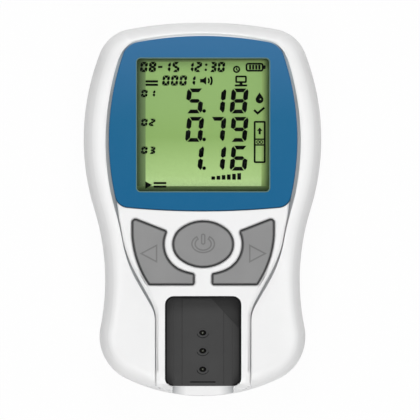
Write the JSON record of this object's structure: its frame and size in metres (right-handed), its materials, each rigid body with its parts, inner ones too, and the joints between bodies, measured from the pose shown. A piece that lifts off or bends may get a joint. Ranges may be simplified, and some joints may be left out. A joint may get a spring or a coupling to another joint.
{
  "type": "handheld lipid meter",
  "caption": "Handheld blood lipid meter: waisted white case, blue display panel, three grey press keys, recessed test bay open at the lower end, rear cell door.",
  "frame": {"origin": "middle of the back face that the meter lies on", "axes": "+Z out of the front face, +Y towards the display end, +X to the reader's right"},
  "size_m": [0.08, 0.126, 0.0261],
  "materials": {
    "case_white": "white injection moulded plastic, soft gloss",
    "fascia_white": "white injection moulded plastic, soft gloss",
    "panel_blue": "blue, smooth",
    "clear_window": "clear acrylic",
    "lcd_green": "yellow green display glass",
    "light_guide": "milky light guide",
    "black_foam": "closed cell foam",
    "black_plastic": "matt moulded",
    "zebra_rubber": "layered contact rubber",
    "board_green": "solder mask on glass laminate",
    "chip_black": "moulded package",
    "tinned_steel": "tinned sheet",
    "screw_steel": "zinc plated",
    "key_grey": "fine matt",
    "block_black": "dark grey, fine matt",
    "lens_clear": "clear moulded lens",
    "ribbon_white": "flat cable",
    "cell_wrap": "plain printed sleeve"
  },
  "bodies": {
    "case": {"front_cover": "case_white", "rear_cover": "case_white", "centre_fascia": "fascia_white", "face_panel": "panel_blue", "window_lens": "clear_window", "window_gasket": "black_foam", "lcd_panel": "lcd_green", "lcd_backlight": "light_guide", "lcd_frame": "black_plastic", "zebra_strips": "zebra_rubber", "main_board": "board_green", "board_chips": "chip_black", "data_socket": "tinned_steel", "buzzer": "black_plastic", "key_switches": "black_plastic", "optical_block": "block_black", "aperture_lenses": "lens_clear", "sensor_board": "board_green", "light_sensors": "chip_black", "sensor_ribbon": "ribbon_white", "battery_cells": "cell_wrap", "cell_contacts": "tinned_steel", "cell_springs": "tinned_steel", "case_screws": "screw_steel"},
    "left_key": {"left_key": "key_grey", "left_plunger": "black_plastic"},
    "power_key": {"power_key": "key_grey", "power_plunger": "black_plastic"},
    "right_key": {"right_key": "key_grey", "right_plunger": "black_plastic"},
    "cell_door": {"battery_door": "case_white"}
  },
  "joints": [
    {"name": "left_key_press", "type": "slide", "parent": "case", "child": "left_key", "axis": [0, 0, -1], "range_m": [0, 0.0006], "stiffness_N_per_m": 1500, "springref_m": -0.0003},
    {"name": "power_key_press", "type": "slide", "parent": "case", "child": "power_key", "axis": [0, 0, -1], "range_m": [0, 0.0006], "stiffness_N_per_m": 1500, "springref_m": -0.0003},
    {"name": "right_key_press", "type": "slide", "parent": "case", "child": "right_key", "axis": [0, 0, -1], "range_m": [0, 0.0006], "stiffness_N_per_m": 1500, "springref_m": -0.0003},
    {"name": "cell_door_hinge", "type": "hinge", "parent": "case", "child": "cell_door", "pos_m": [0, -0.0015, 0.0009], "axis": [-1, 0, 0], "range_deg": [0, 60]}
  ]
}
